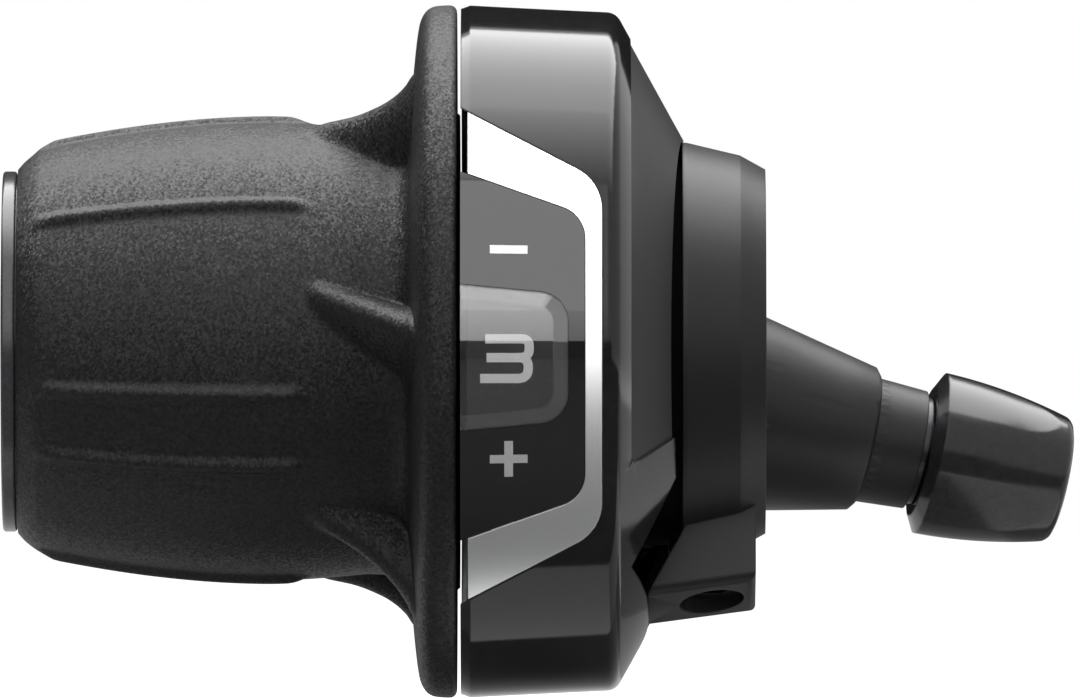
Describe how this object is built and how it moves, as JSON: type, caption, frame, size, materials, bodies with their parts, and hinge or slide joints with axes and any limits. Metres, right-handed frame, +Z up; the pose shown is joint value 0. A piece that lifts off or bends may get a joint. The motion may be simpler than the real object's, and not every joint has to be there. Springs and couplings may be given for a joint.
{
  "type": "twist grip shifter",
  "caption": "Left-hand twist grip gear shifter for a flat handlebar: ribbed rubber grip, gloss housing with number window, bar clamp and barrel adjuster.",
  "frame": {"origin": "on the handlebar axis, in the plane of the housing's outboard edge", "axes": "+X along the handlebar towards the stem, +Z up, -Y towards the rider, who reads the number window"},
  "size_m": [0.0847, 0.0568, 0.0546],
  "materials": {
    "satin_black": "satin black moulded plastic",
    "gloss_black": "gloss black moulded plastic",
    "panel_black": "smoked gloss panel",
    "trim_chrome": "satin chrome plating",
    "window_clear": "smoked clear plastic",
    "number_black": "matt black with printed numbers",
    "grip_black": "fine-grained soft rubber",
    "sleeve_black": "polished hard plastic",
    "acetal_white": "low-friction plastic",
    "steel": "plain steel",
    "insert_metal": "blackened turned steel",
    "bolt_metal": "turned aluminium",
    "plug_rubber": "smooth rubber"
  },
  "bodies": {
    "housing": {"bracket": "satin_black", "housing_shell": "gloss_black", "shell_screws": "steel", "window_trim": "trim_chrome", "window_panel": "panel_black", "number_window": "window_clear", "snap_ring": "steel", "detent_spring": "steel", "thrust_washer": "acetal_white", "cable_guide": "acetal_white", "cable_port_plug": "plug_rubber", "clamp_screw": "steel", "clamp_bush": "steel", "clamp_shoe": "steel", "adjuster_insert": "insert_metal"},
    "grip": {"grip_rubber": "grip_black", "grip_sleeve": "sleeve_black", "winder_drum": "acetal_white", "number_ring": "number_black"},
    "adjuster_bolt": {"adjuster_bolt": "bolt_metal"},
    "adjuster_knob": {"adjuster_knob": "gloss_black"}
  },
  "joints": [
    {"name": "twist", "type": "hinge", "parent": "housing", "child": "grip", "pos_m": [0, 0, 0], "axis": [-1, 0, 0], "range_deg": [0, 56], "deforming": ["detent_spring"]},
    {"name": "adjuster_travel", "type": "slide", "parent": "housing", "child": "adjuster_bolt", "axis": [0.9692, 0.1357, -0.2055], "range_m": [0, 0.004]},
    {"name": "adjuster_turn", "type": "hinge", "parent": "adjuster_bolt", "child": "adjuster_knob", "pos_m": [0.0414, 0.02305, -0.00895], "axis": [0.9692, 0.1357, -0.2055], "range_deg": [0, 1800]}
  ],
  "couplings": [
    {"joint": "adjuster_turn", "follows": "adjuster_travel", "rad_per_m": 7854}
  ]
}
